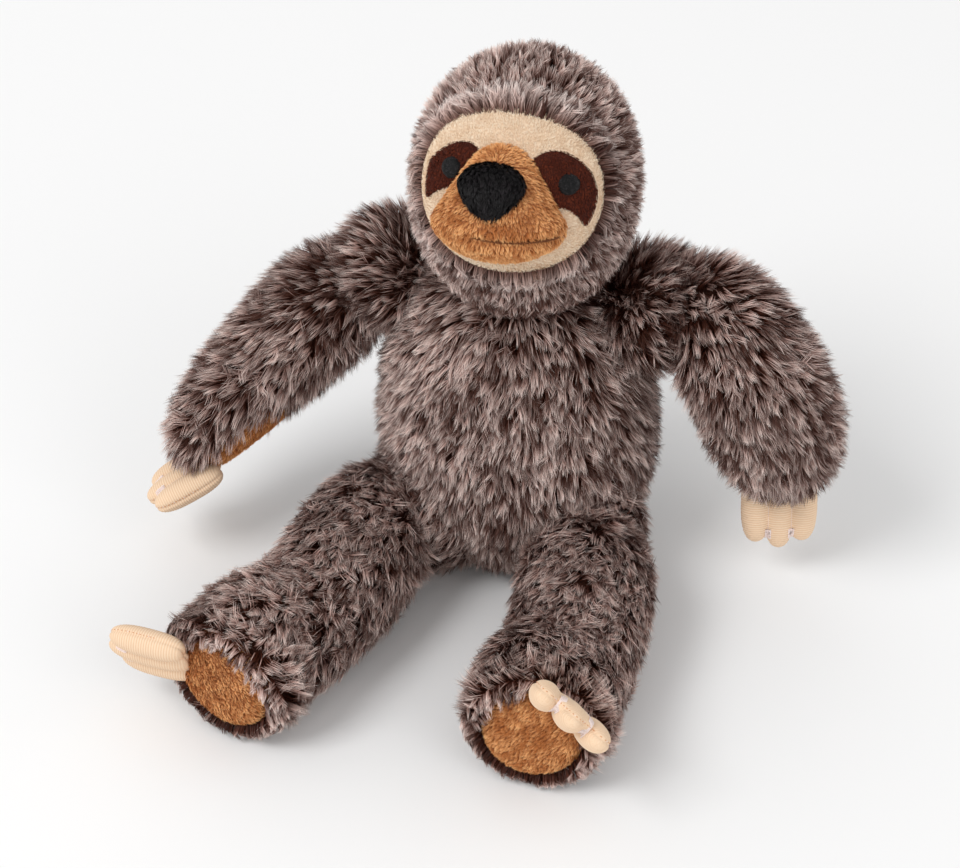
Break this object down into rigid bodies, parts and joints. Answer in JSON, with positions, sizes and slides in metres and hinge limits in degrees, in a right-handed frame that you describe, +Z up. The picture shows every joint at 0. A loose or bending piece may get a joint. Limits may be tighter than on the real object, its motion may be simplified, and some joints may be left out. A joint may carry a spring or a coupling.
{
  "type": "plush sloth",
  "caption": "Long-haired plush sloth that sits with its legs out, with a velour face, velour palms and soles, and mitts of knitted claws.",
  "frame": {"origin": "on the floor under the middle of the seat, straight below the neck", "axes": "+Z up, the toy faces -Y, its own left side is +X"},
  "size_m": [0.2789, 0.2092, 0.234],
  "materials": {
    "frosted_fur": "long pile fur cloth, dark roots and frosted tips",
    "dark_fur": "long pile fur cloth, dark roots and frosted tips",
    "cream_velour": "short velour, matt",
    "tan_velour": "short velour, matt",
    "russet_velour": "short velour, matt",
    "black_pile": "longer pile, matt",
    "black_embroidery": "satin stitch, slight sheen",
    "brown_thread": "stitched line",
    "ribbed_knit": "fine ribbed knit",
    "pale_thread": "stitched bar",
    "fibre_fill": "loose polyester fibre"
  },
  "bodies": {
    "torso": {"torso_cover": "frosted_fur", "torso_fill": "fibre_fill"},
    "head": {"head_cover": "frosted_fur", "head_fill": "fibre_fill", "face_panel": "cream_velour", "muzzle": "tan_velour", "nose": "black_pile", "mouth_seam": "brown_thread", "eye_patch_left": "russet_velour", "eye_patch_right": "russet_velour", "eye_left": "black_embroidery", "eye_right": "black_embroidery"},
    "arm_left": {"arm_left_cover": "dark_fur", "arm_left_fill": "fibre_fill", "palm_left": "tan_velour"},
    "hand_left": {"claws_hand_left": "ribbed_knit", "tack_hand_left_1": "pale_thread", "tack_hand_left_2": "pale_thread"},
    "arm_right": {"arm_right_cover": "dark_fur", "arm_right_fill": "fibre_fill", "palm_right": "tan_velour"},
    "hand_right": {"claws_hand_right": "ribbed_knit", "tack_hand_right_1": "pale_thread", "tack_hand_right_2": "pale_thread"},
    "leg_left": {"leg_left_cover": "dark_fur", "leg_left_fill": "fibre_fill", "sole_left": "tan_velour"},
    "foot_left": {"claws_foot_left": "ribbed_knit", "tack_foot_left_1": "pale_thread", "tack_foot_left_2": "pale_thread"},
    "leg_right": {"leg_right_cover": "dark_fur", "leg_right_fill": "fibre_fill", "sole_right": "tan_velour"},
    "foot_right": {"claws_foot_right": "ribbed_knit", "tack_foot_right_1": "pale_thread", "tack_foot_right_2": "pale_thread"}
  },
  "joints": [
    {"name": "neck_turn", "type": "hinge", "parent": "torso", "child": "head", "pos_m": [0, 0, 0.154], "axis": [0, 0, 1], "range_deg": [-35, 35]},
    {"name": "shoulder_left", "type": "hinge", "parent": "torso", "child": "arm_left", "pos_m": [0.054, 0.004, 0.1285], "axis": [-1, 0, 0], "range_deg": [-30, 75]},
    {"name": "claws_hand_left_bend", "type": "hinge", "parent": "arm_left", "child": "hand_left", "pos_m": [0.1093, 0.00953, 0.04844], "axis": [0.9523, 0.305, 0.0135], "range_deg": [-20, 20]},
    {"name": "shoulder_right", "type": "hinge", "parent": "torso", "child": "arm_right", "pos_m": [-0.054, 0.004, 0.1255], "axis": [-1, 0, 0], "range_deg": [-30, 75]},
    {"name": "claws_hand_right_bend", "type": "hinge", "parent": "arm_right", "child": "hand_right", "pos_m": [-0.11896, -0.0387, 0.04299], "axis": [0.4304, -0.8773, 0.2123], "range_deg": [-20, 20]},
    {"name": "hip_left", "type": "hinge", "parent": "torso", "child": "leg_left", "pos_m": [0.03, -0.022, 0.0293], "axis": [-1, 0, 0], "range_deg": [-35, 20]},
    {"name": "claws_foot_left_bend", "type": "hinge", "parent": "leg_left", "child": "foot_left", "pos_m": [0.05627, -0.1366, 0.04001], "axis": [0.8412, -0.1535, -0.5185], "range_deg": [-10, 25]},
    {"name": "hip_right", "type": "hinge", "parent": "torso", "child": "leg_right", "pos_m": [-0.03, -0.022, 0.0293], "axis": [-1, 0, 0], "range_deg": [-35, 20]},
    {"name": "claws_foot_right_bend", "type": "hinge", "parent": "leg_right", "child": "foot_right", "pos_m": [-0.09302, -0.14403, 0.03207], "axis": [-0.0278, -0.3977, 0.9171], "range_deg": [-10, 25]}
  ]
}
